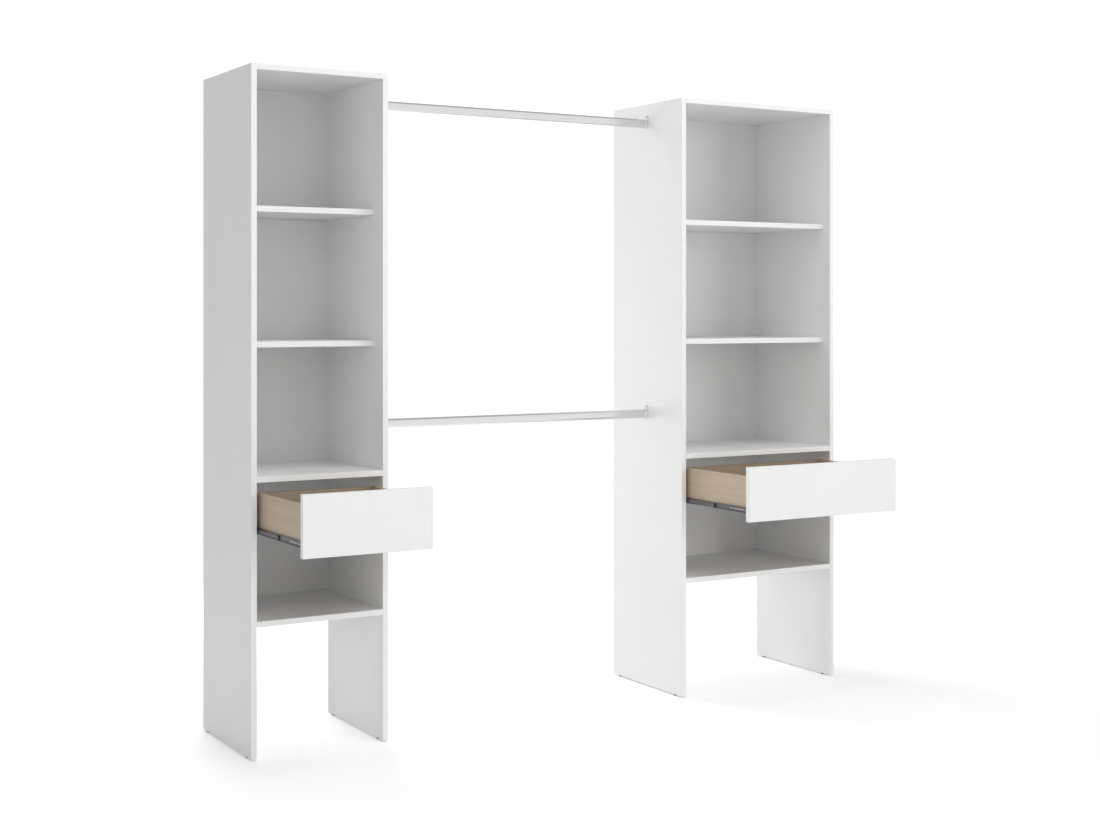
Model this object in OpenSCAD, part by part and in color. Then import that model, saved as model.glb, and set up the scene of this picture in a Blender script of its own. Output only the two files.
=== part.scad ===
// Open wardrobe: two white board columns of unequal width, joined by two hanging rails.
// Z is up and 0 is the floor, X runs along the front, Y runs from the front to the back.
// The drawers are drawn pulled out as far as they go.

/* [Columns] */
// Height of the side panels
panel_h = 2100; // [1950:5:2300]
// Depth of the side panels
panel_d = 437; // [425:1:520]
// Thickness of the white boards
board_t = 18; // [16:0.5:22]
// Outer width of the narrow column on the left
left_w = 453; // [400:1:600]
// Outer width of the wide column on the right
right_w = 689; // [500:1:800]
// Clear distance between the two columns
gap_w = 1131; // [800:1:1500]
// Thickness of the back panels
back_t = 3; // [2.5:0.5:4]
// Margin that a back panel leaves to the column's outline
back_reveal = 1; // [0.5:0.5:2]

/* [Shelves] */
// Underside of the bottom shelves above the panels' lower ends
bottom_shelf_z = 396; // [300:1:440]
// Underside of the fixed shelves over the drawers
fixed_shelf_z = 833; // [800:1:1000]
// Underside of the upper loose shelves
upper_shelf_z = 1657; // [1500:1:1800]
// Underside of the left column's lower loose shelf
left_lower_shelf_z = 1240; // [1100:1:1400]
// Underside of the right column's lower loose shelf
right_lower_shelf_z = 1235; // [1100:1:1400]
// Distance from the left column's front to its loose shelves
left_setback = 69; // [20:1:100]
// Distance from the right column's front to its loose shelves
right_setback = 38; // [20:1:100]
// Play between a loose shelf's ends and the side panels
shelf_play = 0.5; // [0.2:0.1:1]
// Play between a loose shelf's rear edge and the back panel
shelf_rear_play = 2; // [1:0.5:5]

/* [Drawers] */
// How far the drawers are pulled out
drawer_open = 357; // [320:1:365]
// Height of the drawer fronts
front_h = 183; // [175:1:200]
// Gap over a closed drawer front
front_top_gap = 1.5; // [1:0.5:4]
// Gap at each end of a closed drawer front
front_side_gap = 2.5; // [1.5:0.5:4]
// Thickness of the drawers' side and back boards
drawer_t = 12; // [11:0.5:16]
// Height of the drawers' side boards
drawer_side_h = 122.5; // [110:0.5:140]
// Length of the drawers' side boards
drawer_side_l = 380; // [370:1:395]
// Height from the side boards' top edges to the front's top edge
drawer_side_drop = 32.5; // [20:0.5:35]
// Thickness of the drawer bottoms
bottom_t = 3; // [2.5:0.5:5]
// Height of the drawer bottoms over the side boards' lower edges
bottom_inset = 16; // [14:0.5:20]
// Depth of the grooves that hold the drawer bottoms
groove_d = 6; // [4:0.5:7]

/* [Runners] */
// Space for a runner between side panel and drawer
runner_gap = 13; // [12.5:0.1:14]
// Height of a runner
runner_h = 19; // [18.5:0.5:24]
// Length of each runner member
runner_l = 375; // [360:1:378]
// Distance from a closed drawer front's rear face to the runners
runner_clear = 2.5; // [2:0.5:4]
// Thickness of the runner's sheet metal
metal_t = 1.2; // [1:0.1:1.4]
// Diameter of the runner's balls
ball_d = 3.2; // [3:0.1:3.4]
// Play around each ball
ball_play = 0.1; // [0.08:0.01:0.12]
// Height of the race between two runner members
race_gap = 2.4; // [2.2:0.1:2.6]
// Play between the ball cage and the members beside it
cage_play = 0.3; // [0.2:0.05:0.4]
// Thickness of the ball cage's sheet
cage_t = 0.6; // [0.5:0.1:0.8]
// Length of a ball cage
cage_l = 90; // [70:1:110]
// Balls in each row of a cage
balls = 6; // [4:1:8]
// Length of the release lever
lever_l = 63; // [50:1:70]
// Height of the release lever
lever_h = 4; // [3:0.5:6]

/* [Rails] */
// Height of the upper rail's centre above the panels' lower ends
upper_rail_z = 2028; // [1850:1:2040]
// Height of the lower rail's centre
lower_rail_z = 981; // [850:1:1150]
// Distance from the panels' front edges to the rails' centres
rail_y = 218.5; // [150:0.5:260]
// Height of the oval rail tube
rail_h = 31; // [28:0.5:35]
// Thickness of the oval rail tube, front to back
rail_t = 16; // [14:0.5:20]
// Wall of the rail tube
rail_wall = 1.2; // [0.8:0.1:1.5]
// Thickness of a bracket's plate
plate_t = 2.5; // [2:0.1:3.5]
// Wall of a bracket's cup
cup_wall = 2; // [1.5:0.1:2.5]
// Length of a bracket's cup from the panel
cup_l = 16; // [13:0.5:22]
// Space between a tube's end and the bracket's plate
rail_gap = 2; // [0.5:0.5:3]
// Play around the tube in its cup
rail_play = 0.25; // [0.15:0.05:0.4]
// Height of the upper bracket screw over the tube
tab_rise = 9.5; // [8:0.5:12]
// Radius of the bracket's tab around that screw
tab_r = 6; // [5:0.5:7]

/* [Fittings] */
// Diameter of the dowels in the columns
dowel_d = 8; // [6:0.5:9]
// Length of the dowels in the columns
dowel_l = 30; // [25:1:35]
// Diameter of the cam locks in the columns
cam_d = 15; // [14:0.5:16]
// Distance from a board's end to its cam locks
cam_reach = 24; // [20:0.5:30]
// Distance from the front and rear edges to the cam locks
cam_edge = 50; // [40:1:60]
// Distance from a cam lock to the dowel beside it
dowel_step = 32; // [25:1:60]
// Diameter of the shelf pins
pin_d = 5; // [4.5:0.5:6]
// Length of a shelf pin inside the panel
pin_in = 9; // [7:0.5:10]
// Length of a shelf pin under the shelf
pin_out = 8; // [6:0.5:10]
// Distance from a loose shelf's front and rear edges to its pins
pin_edge = 45; // [35:1:60]
// Diameter of the floor glides
glide_d = 15; // [12:0.5:16]
// Height of the floor glides
glide_h = 5; // [4:0.5:8]
// Distance from the panels' front edges to the front glides
glide_front = 50; // [30:1:80]
// Distance from the panels' rear edges to the rear glides
glide_rear = 35; // [25:1:80]
// Nails along each side panel
side_nails = 8; // [5:1:12]
// Nails along each fixed board
board_nails = 3; // [2:1:4]
// Length of the back panel nails
nail_l = 20; // [15:1:25]
// Diameter of the back panel nails
nail_d = 1.4; // [1.2:0.1:1.8]
// Diameter of the nail heads
nail_head_d = 3.5; // [3:0.1:4]

/* [Hidden] */

// Roundness of large and of small round shapes
fine = 64;
coarse = 32;
// Overshoot of a cut past the face that it opens
cut = 1;
// Play of a dowel, pin or screw in its bore, on the radius
bore_play = 0.05;
// Extra depth of a blind bore past the end of what it holds
bore_extra = 0.5;

// Colours as photographed
white = "whitesmoke";
white_back = "gainsboro";
oak = "burlywood";
zinc = "silver";
runner_grey = "gray";
cage_tone = "darkkhaki";
black = "dimgray";
pale = "lightgray";
beech = "wheat";

// Places of the two columns: 0 is the left one and 1 the right one
total_w = left_w + gap_w + right_w;
column_x = [-total_w / 2, -total_w / 2 + left_w + gap_w];
column_w = [left_w, right_w];
setback = [left_setback, right_setback];
lower_shelf_z = [left_lower_shelf_z, right_lower_shelf_z];
front_y = (drawer_open - panel_d - back_t) / 2;
function inner_w(s) = column_w[s] - 2 * board_t;

// The fixed boards from the bottom up, and whether their cam locks are let in from above
fixed_z = [bottom_shelf_z, fixed_shelf_z, panel_h - board_t];
cam_above = [false, false, true];

// Fittings that join the fixed boards to the side panels
cam_ys = [cam_edge, panel_d - cam_edge];
dowel_ys = [cam_edge + dowel_step, panel_d - cam_edge - dowel_step];
dowel_in = 10;
cam_recess = 0.3;
cam_past = 3;
cam_h = board_t / 2 + cam_past;
bolt_thread_d = 5;
bolt_thread_l = 10;
bolt_neck_d = 4;
bolt_head_d = 7;
bolt_head_h = 2.5;
bolt_way_play = 0.5;
bolt_way_d = bolt_head_d + 2 * bolt_way_play;
pocket_play = 0.2;
slot_l = 8;
slot_w = 1.3;
slot_deep = 2;

// Shelf pins: the flat on top carries the shelf
pin_flat = 0.5;
pin_top = pin_d / 2 - pin_flat;
function pin_ys(s) = [setback[s] + pin_edge, panel_d - shelf_rear_play - pin_edge];
function loose_zs(s) = [upper_shelf_z, lower_shelf_z[s]];

// Nails: their heads lie flush in the back panel
nail_head_h = 0.6;
nail_margin = 40;
side_nail_low = bottom_shelf_z + nail_margin;
side_nail_step = (panel_h - nail_margin - side_nail_low) / (side_nails - 1);
side_nail_zs = [for (i = [0 : side_nails - 1]) side_nail_low + i * side_nail_step];
function board_nail_xs(s) = [for (i = [1 : board_nails]) board_t + inner_w(s) * i / (board_nails + 1)];

// Glides: a plastic foot moulded on a nail
glide_nail_d = 2;
glide_nail_l = 15;
glide_chamfer = 1;
glide_ys = [glide_front, panel_d - glide_rear];

// Drawer: heights count from the front's lower edge, depths from the front's face
drawer_z = fixed_shelf_z - front_top_gap - front_h;
side_z = front_h - drawer_side_drop - drawer_side_h;
drawer_x = runner_gap;
bottom_z = side_z + bottom_inset;
groove_play = 0.1;
groove_gap = 0.3;
drawer_rear_y = board_t + drawer_side_l;

// Drawer fasteners
small_cam_d = 12;
small_cam_past = 2.5;
small_cam_h = drawer_t / 2 + small_cam_past;
small_cam_recess = 0.2;
small_neck_d = 3.5;
small_head_d = 5.5;
small_head_h = 2;
small_reach = 22;
small_way_play = 0.25;
small_way_d = small_head_d + 2 * small_way_play;
small_cam_rise = 17;
small_cam_drop = 24;
small_cam_zs = [bottom_z + bottom_t + small_cam_rise, side_z + drawer_side_h - small_cam_drop];
small_dowel_d = 6;
small_dowel_l = 24;
small_dowel_z = (small_cam_zs[0] + small_cam_zs[1]) / 2;
screw_d = 3.4;
screw_head_d = 6.4;
screw_head_h = 1.5;
back_screw_l = 34;
back_screw_rise = 23;
back_screw_drop = 25;
back_screw_zs = [bottom_z + bottom_t + back_screw_rise, side_z + drawer_side_h - back_screw_drop];

// Runner cross section: u counts from the panel's face and w from the runner's centre
runner_z = drawer_z + side_z + runner_h / 2;
runner_front = board_t + runner_clear;
channel_split = 1.4;
channel_depth = (runner_gap - channel_split) / 2;
channel_in = runner_h / 2 - metal_t;
beam_half = channel_in - race_gap;
ball_w = channel_in - race_gap / 2;
cage_u = metal_t + cage_play;
beam_u = cage_u + cage_t + cage_play;
ball_u = (beam_u + channel_depth) / 2;
beam_web = 1.6;
cage_split = 0.4;
cage_wing = (runner_gap - cage_split) / 2 - cage_u;
groove_r = ball_d / 2 + ball_play;
cage_hole_play = 0.15;
cage_hole_r = ball_d / 2 + cage_hole_play;
cage_end = 6;
ball_step = (cage_l - 2 * cage_end) / (balls - 1);
cage_inset = 5;
lever_t = 2.5;
lever_inset = 12;
runner_screw_d = 3.2;
runner_screw_head_d = 5.6;
runner_screw_in = 13;
drawer_screw_in = 9;
screw_inset = 30;
lever_screw_gap = 15;
rear_screw_y = runner_l - screw_inset;
lever_screw_y = lever_inset + lever_l + lever_screw_gap;
fixed_screw_ys = [screw_inset, runner_l / 2, rear_screw_y];
moving_screw_ys = [lever_screw_y, (lever_screw_y + rear_screw_y) / 2, rear_screw_y];

// Rails and brackets
tab_z = rail_h / 2 + tab_rise;
bracket_screw_d = 3.5;
bracket_screw_in = 13;
bracket_head_d = 7;
bracket_head_h = 2.2;
sunk_rest = 0.6;
sunk_head_h = plate_t - sunk_rest;
drive_l = 4;
drive_w = 0.7;

// A round bar along X, along Y
module rod_x(d, l, n = coarse) rotate([0, 90, 0]) cylinder(d = d, h = l, $fn = n);
module rod_y(d, l, n = coarse) rotate([-90, 0, 0]) cylinder(d = d, h = l, $fn = n);

// Places what is drawn from a side panel's inner face: X leads into the column, Y backwards from
// the front edge and Z up from the panel's lower end. Side 1 is the left panel and -1 the right one.
module at_inner_face(s, side) {
    x = side > 0 ? column_x[s] + board_t : column_x[s] + column_w[s] - board_t;
    translate([x, front_y, glide_h]) mirror([side > 0 ? 0 : 1, 0, 0]) children();
}

// Places what is drawn from the face that a column turns to the gap: X leads into the gap
module at_gap_face(s) {
    x = s == 0 ? column_x[0] + left_w : column_x[1];
    translate([x, front_y, glide_h]) mirror([s, 0, 0]) children();
}

// Places what is drawn from the column's lower left front corner
module at_column(s) translate([column_x[s], front_y, glide_h]) children();

// Places what is drawn from an open drawer's lower front edge, between the panels' inner faces
module at_drawer(s) translate([column_x[s] + board_t, front_y - drawer_open, glide_h + drawer_z]) children();

// The same, with X leading inwards from the inner face of one of the drawer's side boards
module at_drawer_side(s, side) {
    at_inner_face(s, side) translate([drawer_x + drawer_t, -drawer_open, drawer_z]) children();
}

// Places what is drawn from the front end of a fixed runner member, at the runner's centre
module at_runner(s, side, moved = 0) {
    at_inner_face(s, side) translate([0, runner_front - moved, runner_z]) children();
}

// Cam lock: let in along Z, its bolt comes from -X at the given depth
module cam(d, h, depth, neck_d, head_d, head_h) {
    difference() {
        cylinder(d = d, h = h, $fn = fine);
        translate([-d, 0, depth]) rod_x(neck_d + 2 * pocket_play, d);
        translate([-head_h - pocket_play, 0, depth])
            rod_x(head_d + 2 * pocket_play, head_h + 2 * pocket_play);
        for (a = [0, 90]) rotate([0, 0, a + 45])
            translate([-slot_l / 2, -slot_w / 2, -cut]) cube([slot_l, slot_w, slot_deep + cut]);
    }
}

// Cam bolt along X: thread behind 0, neck and head in front of it
module cam_bolt(neck_d, head_d, head_h, reach) {
    union() {
        translate([-bolt_thread_l, 0, 0]) rod_x(bolt_thread_d, bolt_thread_l);
        rod_x(neck_d, reach - head_h);
        translate([reach - head_h, 0, 0]) rod_x(head_d, head_h);
    }
}

// Bore in a panel for the bolt's thread
module bolt_bore() {
    translate([-bolt_thread_l - bore_extra, 0, 0])
        rod_x(bolt_thread_d + 2 * bore_play, bolt_thread_l + bore_extra + cut);
}

// Countersunk screw along X: its head's face lies at 0 and its shank ends at l
module flat_screw(d, head_d, head_h, l) {
    rotate([0, 90, 0]) union() {
        cylinder(d1 = head_d, d2 = d, h = head_h, $fn = coarse);
        translate([0, 0, head_h]) cylinder(d = d, h = l - head_h, $fn = coarse);
    }
}

// Hole for that screw, with play on its whole outline
module flat_screw_hole(d, head_d, head_h, l) {
    rotate([0, 90, 0]) union() {
        translate([0, 0, -cut]) cylinder(d = head_d + 2 * bore_play, h = cut, $fn = coarse);
        cylinder(d1 = head_d + 2 * bore_play, d2 = d + 2 * bore_play, h = head_h, $fn = coarse);
        translate([0, 0, head_h]) cylinder(d = d + 2 * bore_play, h = l - head_h + bore_extra, $fn = coarse);
    }
}

// Cuts a fixed board's cam sockets and the bores in its end, seen from a panel's inner face
module board_end_cuts(i) {
    mid = fixed_z[i] + board_t / 2;
    for (y = cam_ys) {
        translate([-cut, y, mid]) rod_x(bolt_way_d, cam_reach + cut);
        at_cam(i, y) translate([0, 0, -cut])
            cylinder(d = cam_d + 2 * bore_play, h = cut + cam_recess + cam_h + bore_extra, $fn = fine);
    }
    for (y = dowel_ys)
        translate([-cut, y, mid]) rod_x(dowel_d + 2 * bore_play, dowel_l - dowel_in + bore_extra + cut);
}

// Places a cam lock on the face that it is let into
module at_cam(i, y) {
    translate([cam_reach, y, fixed_z[i] + (cam_above[i] ? board_t : 0)])
        mirror([0, 0, cam_above[i] ? 1 : 0]) children();
}

// Pilot hole of a nail that comes from the back panel's rear face
module nail_hole() {
    translate([0, -nail_l - bore_extra, 0]) rod_y(nail_d + 2 * bore_play, nail_l + bore_extra);
}

module side_panel(s, side) {
    at_inner_face(s, side) difference() {
        translate([-board_t, 0, 0]) cube([board_t, panel_d, panel_h]);
        for (z = fixed_z) {
            for (y = cam_ys) translate([0, y, z + board_t / 2]) bolt_bore();
            for (y = dowel_ys) translate([-dowel_in - bore_extra, y, z + board_t / 2])
                rod_x(dowel_d + 2 * bore_play, dowel_in + bore_extra + cut);
        }
        for (z = loose_zs(s), y = pin_ys(s)) translate([-pin_in - bore_extra, y, z - pin_top])
            rod_x(pin_d + 2 * bore_play, pin_in + bore_extra + cut);
        for (y = fixed_screw_ys) translate([-runner_screw_in - bore_extra, runner_front + y, runner_z])
            rod_x(runner_screw_d + 2 * bore_play, runner_screw_in + bore_extra + cut);
        for (z = side_nail_zs) translate([-board_t / 2, panel_d + back_t, z]) nail_hole();
        for (y = glide_ys) translate([-board_t / 2, y, -cut])
            cylinder(d = glide_nail_d + 2 * bore_play, h = glide_nail_l + bore_extra + cut, $fn = coarse);
    }
}

// The panel that faces the gap also takes the bracket screws
module gap_panel(s) {
    difference() {
        side_panel(s, s == 0 ? -1 : 1);
        at_gap_face(s) for (rail_z = [upper_rail_z, lower_rail_z], z = [0, tab_z])
            translate([-bracket_screw_in - bore_extra, rail_y, rail_z + z])
                rod_x(bracket_screw_d + 2 * bore_play, bracket_screw_in + bore_extra + cut);
    }
}

module fixed_board(s, i) {
    difference() {
        at_column(s) translate([board_t, 0, fixed_z[i]]) cube([inner_w(s), panel_d, board_t]);
        for (side = [1, -1]) at_inner_face(s, side) board_end_cuts(i);
        at_column(s) for (x = board_nail_xs(s))
            translate([x, panel_d + back_t, fixed_z[i] + board_t / 2]) nail_hole();
    }
}

module loose_shelf(s, z) {
    at_column(s) translate([board_t + shelf_play, setback[s], z])
        cube([inner_w(s) - 2 * shelf_play, panel_d - setback[s] - shelf_rear_play, board_t]);
}

// Places what is drawn from each nail's head, on the back panel's rear face
module at_nails(s) {
    at_column(s) {
        for (x = [board_t / 2, column_w[s] - board_t / 2], z = side_nail_zs)
            translate([x, panel_d + back_t, z]) children();
        for (x = board_nail_xs(s), z = fixed_z)
            translate([x, panel_d + back_t, z + board_t / 2]) children();
    }
}

module back_panel(s) {
    difference() {
        at_column(s) translate([back_reveal, panel_d, bottom_shelf_z + back_reveal])
            cube([column_w[s] - 2 * back_reveal, back_t, panel_h - bottom_shelf_z - 2 * back_reveal]);
        at_nails(s) {
            translate([0, -back_t - cut, 0]) rod_y(nail_d + 2 * bore_play, back_t + 2 * cut);
            translate([0, -nail_head_h, 0]) rod_y(nail_head_d + 2 * bore_play, nail_head_h + cut);
        }
    }
}

module left_outer_panel() color(white) side_panel(0, 1);
module left_inner_panel() color(white) gap_panel(0);
module left_top_panel() color(white) fixed_board(0, 2);
module left_upper_shelf() color(white) loose_shelf(0, upper_shelf_z);
module left_lower_shelf() color(white) loose_shelf(0, left_lower_shelf_z);
module left_fixed_shelf() color(white) fixed_board(0, 1);
module left_bottom_shelf() color(white) fixed_board(0, 0);
module left_back_panel() color(white_back) back_panel(0);

module right_inner_panel() color(white) gap_panel(1);
module right_outer_panel() color(white) side_panel(1, -1);
module right_top_panel() color(white) fixed_board(1, 2);
module right_upper_shelf() color(white) loose_shelf(1, upper_shelf_z);
module right_lower_shelf() color(white) loose_shelf(1, right_lower_shelf_z);
module right_fixed_shelf() color(white) fixed_board(1, 1);
module right_bottom_shelf() color(white) fixed_board(1, 0);
module right_back_panel() color(white_back) back_panel(1);

// Pins that carry the loose shelves on a flat
module shelf_pins() {
    color(zinc) for (s = [0, 1], side = [1, -1], z = loose_zs(s), y = pin_ys(s))
        at_inner_face(s, side) translate([-pin_in, y, z - pin_top]) difference() {
            rod_x(pin_d, pin_in + pin_out);
            translate([pin_in, -pin_d, pin_top]) cube([pin_out + cut, 2 * pin_d, pin_d]);
        }
}

module cam_locks() {
    color(zinc) for (s = [0, 1], side = [1, -1], i = [0 : 2], y = cam_ys)
        at_inner_face(s, side) at_cam(i, y) translate([0, 0, cam_recess])
            cam(cam_d, cam_h, board_t / 2 - cam_recess, bolt_neck_d, bolt_head_d, bolt_head_h);
}

module cam_bolts() {
    color(zinc) for (s = [0, 1], side = [1, -1], z = fixed_z, y = cam_ys)
        at_inner_face(s, side) translate([0, y, z + board_t / 2])
            cam_bolt(bolt_neck_d, bolt_head_d, bolt_head_h, cam_reach);
}

module dowels() {
    color(beech) for (s = [0, 1], side = [1, -1], z = fixed_z, y = dowel_ys)
        at_inner_face(s, side) translate([-dowel_in, y, z + board_t / 2]) rod_x(dowel_d, dowel_l);
}

module back_nails() {
    color(zinc) for (s = [0, 1]) at_nails(s) union() {
        translate([0, -nail_head_h, 0]) rod_y(nail_head_d, nail_head_h);
        translate([0, -nail_l, 0]) rod_y(nail_d, nail_l - nail_head_h);
    }
}

module floor_glides() {
    color(black) for (s = [0, 1], side = [1, -1], y = glide_ys)
        at_inner_face(s, side) translate([-board_t / 2, y, -glide_h]) rotate_extrude($fn = fine)
            polygon([
                [0, 0],
                [glide_d / 2 - glide_chamfer, 0],
                [glide_d / 2, glide_chamfer],
                [glide_d / 2, glide_h],
                [glide_nail_d / 2, glide_h],
                [glide_nail_d / 2, glide_h + glide_nail_l],
                [0, glide_h + glide_nail_l]
            ]);
}

// Outline of the tube, grown by a margin: its length runs along X here
module oval(grow) {
    w = rail_t + 2 * grow;
    straight = rail_h - rail_t;
    union() {
        for (end = [-1, 1]) translate([end * straight / 2, 0]) circle(d = w, $fn = fine);
        square([straight, w], center = true);
    }
}

// Stands that outline up and draws it out along X
module oval_bar(grow, l) rotate([0, 90, 0]) linear_extrude(l) oval(grow);

module rail(z) {
    end = plate_t + rail_gap;
    at_gap_face(0) translate([end, rail_y, z]) difference() {
        oval_bar(0, gap_w - 2 * end);
        translate([-cut, 0, 0]) oval_bar(-rail_wall, gap_w - 2 * end + 2 * cut);
    }
}

module upper_rail() color(zinc) rail(upper_rail_z);
module lower_rail() color(zinc) rail(lower_rail_z);

// Bracket: a plate with a tab over the tube, and a cup whose cheeks fall away in an arc
module bracket(s, z) {
    grow = rail_play + cup_wall;
    at_gap_face(s) translate([0, rail_y, z]) difference() {
        union() {
            oval_bar(grow, plate_t);
            translate([0, -tab_r, 0]) cube([plate_t, 2 * tab_r, tab_z]);
            translate([0, 0, tab_z]) rod_x(2 * tab_r, plate_t, fine);
            intersection() {
                oval_bar(grow, cup_l);
                union() {
                    translate([0, -rail_h, 0]) rod_y(2 * cup_l, 2 * rail_h, fine);
                    translate([0, -rail_h, -rail_h]) cube([cup_l, 2 * rail_h, rail_h]);
                }
            }
        }
        translate([plate_t, 0, 0]) oval_bar(rail_play, cup_l);
        translate([plate_t, -rail_t / 2 - rail_play, 0]) cube([cup_l, rail_t + 2 * rail_play, rail_h]);
        flat_screw_at_plate();
        translate([-cut, 0, tab_z]) rod_x(bracket_screw_d + 2 * bore_play, plate_t + 2 * cut);
    }
}

// Hole of the lower bracket screw, whose head is sunk in the plate behind the tube's end
module flat_screw_at_plate() {
    translate([plate_t, 0, 0]) mirror([1, 0, 0])
        flat_screw_hole(bracket_screw_d, bracket_head_d, sunk_head_h, plate_t + bracket_screw_in);
}

module brackets(z) for (s = [0, 1]) bracket(s, z);
module upper_rail_brackets() color(zinc) brackets(upper_rail_z);
module lower_rail_brackets() color(zinc) brackets(lower_rail_z);

module bracket_screws() {
    color(zinc) for (s = [0, 1], z = [upper_rail_z, lower_rail_z]) at_gap_face(s) translate([0, rail_y, z]) {
        translate([plate_t, 0, 0]) mirror([1, 0, 0])
            flat_screw(bracket_screw_d, bracket_head_d, sunk_head_h, plate_t + bracket_screw_in);
        translate([0, 0, tab_z]) difference() {
            union() {
                translate([plate_t, 0, 0]) rod_x(bracket_head_d, bracket_head_h, fine);
                translate([-bracket_screw_in, 0, 0]) rod_x(bracket_screw_d, bracket_screw_in + plate_t);
            }
            for (a = [0, 90]) rotate([a, 0, 0])
                translate([plate_t + bracket_head_h / 2, -drive_l / 2, -drive_w / 2])
                    cube([bracket_head_h, drive_l, drive_w]);
        }
    }
}

// Screws that hold the fixed runner members, their heads flush in the metal
module runner_screws() {
    color(zinc) for (s = [0, 1], side = [1, -1], y = fixed_screw_ys) at_runner(s, side)
        translate([metal_t, y, 0]) mirror([1, 0, 0])
            flat_screw(runner_screw_d, runner_screw_head_d, metal_t, metal_t + runner_screw_in);
}

// Channel with two ball grooves, open towards +X
module channel(screw_ys) {
    difference() {
        translate([0, 0, -runner_h / 2]) cube([channel_depth, runner_l, runner_h]);
        translate([metal_t, -cut, -channel_in]) cube([channel_depth, runner_l + 2 * cut, 2 * channel_in]);
        ball_grooves();
        for (y = screw_ys) translate([metal_t, y, 0]) mirror([1, 0, 0])
            flat_screw_hole(runner_screw_d, runner_screw_head_d, metal_t, 2 * metal_t);
    }
}

module ball_grooves() {
    for (w = [-1, 1]) translate([ball_u, -cut, w * ball_w]) rod_y(2 * groove_r, runner_l + 2 * cut);
}

// Turns a shape drawn from the panel so that it is drawn from the drawer
module from_drawer() translate([runner_gap, 0, 0]) mirror([1, 0, 0]) children();

module middle_beam() {
    flange_l = runner_gap - 2 * beam_u;
    difference() {
        union() {
            for (w = [-beam_half, beam_half - metal_t])
                translate([beam_u, 0, w]) cube([flange_l, runner_l, metal_t]);
            translate([(runner_gap - beam_web) / 2, 0, -beam_half])
                cube([beam_web, runner_l, 2 * beam_half]);
        }
        ball_grooves();
        from_drawer() ball_grooves();
    }
}

// Ball cage: a folded strip with a row of balls on each wing
module ball_cage() {
    wing_half = ball_w + cage_t / 2;
    difference() {
        translate([cage_u, 0, -wing_half]) cube([cage_wing, cage_l, 2 * wing_half]);
        translate([cage_u + cage_t, -cut, -wing_half + cage_t])
            cube([cage_wing, cage_l + 2 * cut, 2 * (wing_half - cage_t)]);
        for (i = [0 : balls - 1]) translate([ball_u, cage_end + i * ball_step, -runner_h / 2])
            cylinder(r = cage_hole_r, h = runner_h, $fn = coarse);
    }
    for (i = [0 : balls - 1], w = [-1, 1])
        translate([ball_u, cage_end + i * ball_step, w * ball_w]) sphere(d = ball_d, $fn = coarse);
}

module runner_fixed(s, side) color(runner_grey) at_runner(s, side) channel(fixed_screw_ys);
module runner_middle(s, side) color(runner_grey) at_runner(s, side, drawer_open / 2) middle_beam();
module runner_moving(s, side) {
    color(runner_grey) at_runner(s, side, drawer_open) from_drawer() channel(moving_screw_ys);
}
module cages_fixed(s) {
    color(cage_tone) for (side = [1, -1]) at_runner(s, side) translate([0, cage_inset, 0]) ball_cage();
}
module cages_moving(s) {
    color(cage_tone) for (side = [1, -1]) at_runner(s, side, drawer_open / 2)
        translate([0, cage_inset, 0]) from_drawer() ball_cage();
}
module release_levers(s) {
    color(pale) for (side = [1, -1]) at_runner(s, side, drawer_open) from_drawer()
        translate([metal_t, lever_inset, -lever_h / 2]) union() {
            cube([lever_t, lever_l, lever_h]);
            translate([0, lever_l, lever_h / 2]) rod_x(lever_h, lever_t);
        }
}

module drawer_front(s) {
    groove_x = drawer_x + drawer_t - groove_d;
    color(white) difference() {
        at_drawer(s) translate([front_side_gap, 0, 0])
            cube([inner_w(s) - 2 * front_side_gap, board_t, front_h]);
        at_drawer(s) translate([groove_x, board_t - groove_d, bottom_z - groove_play])
            cube([inner_w(s) - 2 * groove_x, groove_d + cut, bottom_t + 2 * groove_play]);
        for (side = [1, -1]) at_drawer_side(s, side) {
            for (z = small_cam_zs) translate([-drawer_t / 2, board_t, z]) rotate([0, 0, 90]) bolt_bore();
            translate([-drawer_t / 2, board_t - small_dowel_l / 2 - bore_extra, small_dowel_z])
                rod_y(small_dowel_d + 2 * bore_play, small_dowel_l / 2 + bore_extra + cut);
        }
    }
}

// Turns a cam drawn along Z so that it is let in along -X, with its bolt coming from the front
module turned_cam() rotate([-90, 0, 0]) rotate([0, -90, 0]) children();

module drawer_side(s, side) {
    color(oak) at_drawer_side(s, side) difference() {
        translate([-drawer_t, board_t, side_z]) cube([drawer_t, drawer_side_l, drawer_side_h]);
        translate([-groove_d, board_t - cut, bottom_z - groove_play])
            cube([groove_d + cut, drawer_side_l + 2 * cut, bottom_t + 2 * groove_play]);
        for (z = small_cam_zs) {
            translate([-drawer_t / 2, board_t - cut, z]) rod_y(small_way_d, small_reach + cut);
            translate([cut, board_t + small_reach, z]) turned_cam() cylinder(
                d = small_cam_d + 2 * bore_play,
                h = cut + small_cam_recess + small_cam_h + bore_extra, $fn = fine);
        }
        translate([-drawer_t / 2, board_t - cut, small_dowel_z])
            rod_y(small_dowel_d + 2 * bore_play, small_dowel_l / 2 + bore_extra + cut);
        for (z = back_screw_zs) translate([-drawer_t, drawer_rear_y - drawer_t / 2, z])
            flat_screw_hole(screw_d, screw_head_d, screw_head_h, drawer_t + cut);
        for (y = moving_screw_ys) translate([-drawer_t - cut, runner_front + y, side_z + runner_h / 2])
            rod_x(runner_screw_d + 2 * bore_play, drawer_screw_in + bore_extra + cut);
    }
}

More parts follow.
